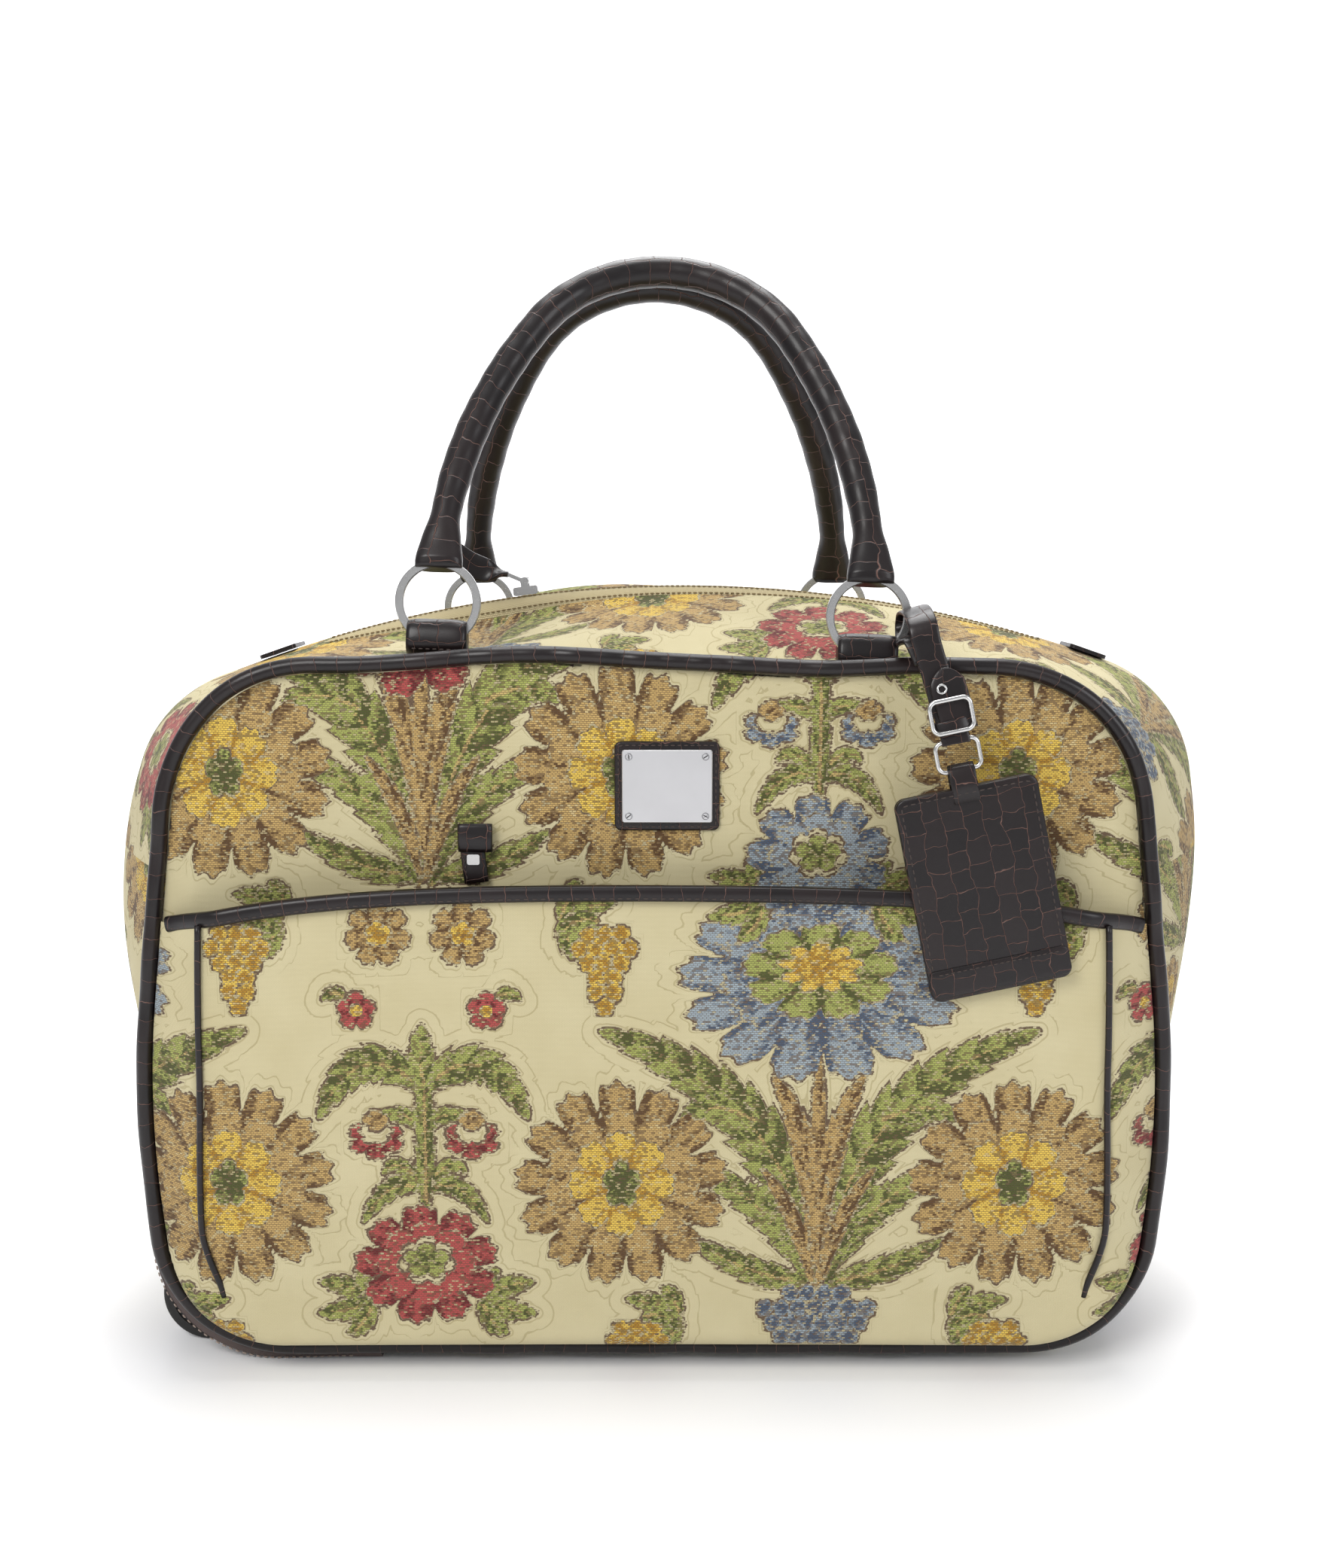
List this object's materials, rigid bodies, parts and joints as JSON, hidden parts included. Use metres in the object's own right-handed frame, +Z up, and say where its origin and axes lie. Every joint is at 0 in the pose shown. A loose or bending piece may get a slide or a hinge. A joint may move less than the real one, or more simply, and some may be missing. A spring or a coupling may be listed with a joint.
{
  "type": "wheeled carpet bag",
  "caption": "Zipped tapestry travel bag with leather trim, two ring-mounted handles, a front pocket, luggage tag, corner wheels and stowed tow handle.",
  "frame": {"origin": "on the floor under the middle of the bag", "axes": "+X to the right seen from the front, +Y towards the back, +Z up; the front pocket faces -Y"},
  "size_m": [0.5777, 0.2405, 0.5534],
  "materials": {
    "black_plastic": "satin moulded",
    "board": "rough",
    "bright_metal": "satin bright",
    "card": "matte",
    "guard_plastic": "satin moulded",
    "leather": "croc-embossed semi-gloss",
    "lining": "plain woven lining",
    "steel": "plain",
    "tapestry": "woven tapestry",
    "tube_metal": "satin",
    "tyre": "matte",
    "zip_coil": "moulded coil",
    "zip_tape": "woven tape"
  },
  "bodies": {
    "bag": {"axle_back": "steel", "axle_front": "steel", "back_panel": "tapestry", "back_piping": "leather", "base_board": "board", "feet": "black_plastic", "front_panel": "tapestry", "front_piping": "leather", "gusset_lower": "tapestry", "gusset_top_back": "tapestry", "gusset_top_front": "tapestry", "lining": "lining", "name_plate": "bright_metal", "plate_patch": "leather", "plate_screws": "bright_metal", "pocket_binding": "leather", "pocket_gusset": "tapestry", "pocket_panel": "tapestry", "pocket_piping": "leather", "pocket_strap": "leather", "ring_loop_back_left": "leather", "ring_loop_back_right": "leather", "ring_loop_front_left": "leather", "ring_loop_front_right": "leather", "strap_snap": "bright_metal", "tow_bezel": "black_plastic", "tow_clamp": "black_plastic", "tow_outer_tubes": "tube_metal", "wheel_guard_back": "guard_plastic", "wheel_guard_front": "guard_plastic", "zip_coil": "zip_coil", "zip_end_gussets": "tapestry", "zip_tab_left": "leather", "zip_tab_right": "leather", "zip_tape_back": "zip_tape", "zip_tape_front": "zip_tape"},
    "tow_middle": {"tow_middle_tubes": "tube_metal"},
    "tow_grip": {"tow_inner_tubes": "tube_metal", "tow_grip": "black_plastic"},
    "tow_button": {"tow_button": "black_plastic"},
    "wheel_front": {"wheel_hub_front": "black_plastic", "tyre_front": "tyre"},
    "wheel_back": {"wheel_hub_back": "black_plastic", "tyre_back": "tyre"},
    "front_rings": {"ring_front_left": "bright_metal", "ring_front_right": "bright_metal"},
    "front_handle": {"handle_front": "leather"},
    "back_rings": {"ring_back_left": "bright_metal", "ring_back_right": "bright_metal"},
    "back_handle": {"handle_back": "leather"},
    "tag_strap": {"tag_strap": "leather", "tag_buckle": "bright_metal", "tag_wire_loop": "bright_metal"},
    "luggage_tag": {"tag_front": "leather", "tag_back": "leather", "tag_card": "card"},
    "zip_slider": {"zip_slider": "bright_metal"},
    "zip_pull": {"zip_pull_link": "bright_metal", "zip_pull": "leather"}
  },
  "joints": [
    {"name": "tow_stage_1", "type": "slide", "parent": "bag", "child": "tow_middle", "axis": [1, 0, 0], "range_m": [0, 0.34]},
    {"name": "tow_stage_2", "type": "slide", "parent": "tow_middle", "child": "tow_grip", "axis": [1, 0, 0], "range_m": [0, 0.34]},
    {"name": "tow_button_press", "type": "slide", "parent": "tow_grip", "child": "tow_button", "axis": [-1, 0, 0], "range_m": [0, 0.002], "stiffness_N_per_m": 400},
    {"name": "wheel_front_spin", "type": "hinge", "parent": "bag", "child": "wheel_front", "pos_m": [-0.229, -0.057, 0.024], "axis": [0, 1, 0], "continuous": true},
    {"name": "wheel_back_spin", "type": "hinge", "parent": "bag", "child": "wheel_back", "pos_m": [-0.229, 0.081, 0.024], "axis": [0, 1, 0], "continuous": true},
    {"name": "front_rings_swing", "type": "hinge", "parent": "bag", "child": "front_rings", "pos_m": [-0.00065, -0.079, 0.35751], "axis": [0.9994, 0, -0.0349], "range_deg": [0, 20]},
    {"name": "front_handle_swing", "type": "hinge", "parent": "front_rings", "child": "front_handle", "pos_m": [0.00065, -0.079, 0.39449], "axis": [0.9994, 0, -0.0349], "range_deg": [0, 115]},
    {"name": "back_rings_swing", "type": "hinge", "parent": "bag", "child": "back_rings", "pos_m": [0, 0.103, 0.3525], "axis": [1, 0, 0], "range_deg": [-20, 0]},
    {"name": "back_handle_swing", "type": "hinge", "parent": "back_rings", "child": "back_handle", "pos_m": [0, 0.103, 0.3895], "axis": [1, 0, 0], "range_deg": [-115, 0]},
    {"name": "tag_strap_swing", "type": "hinge", "parent": "front_rings", "child": "tag_strap", "pos_m": [0.12116, -0.079, 0.36919], "axis": [1, 0, 0], "range_deg": [-20, 0]},
    {"name": "luggage_tag_swing", "type": "hinge", "parent": "tag_strap", "child": "luggage_tag", "pos_m": [0.14215, -0.1169, 0.30375], "axis": [0.9781, 0, 0.2079], "range_deg": [-80, 0]},
    {"name": "zip_slider_travel", "type": "hinge", "parent": "bag", "child": "zip_slider", "pos_m": [0.015, 0.012, -0.264], "axis": [0, 1, 0], "range_deg": [-9, 23]},
    {"name": "zip_pull_flip", "type": "hinge", "parent": "zip_slider", "child": "zip_pull", "pos_m": [-0.06891, 0.012, 0.38772], "axis": [0, 1, 0], "range_deg": [-25, 110]}
  ],
  "couplings": [
    {"joint": "tag_strap_swing", "follows": "front_rings_swing", "ratio": -1}
  ]
}
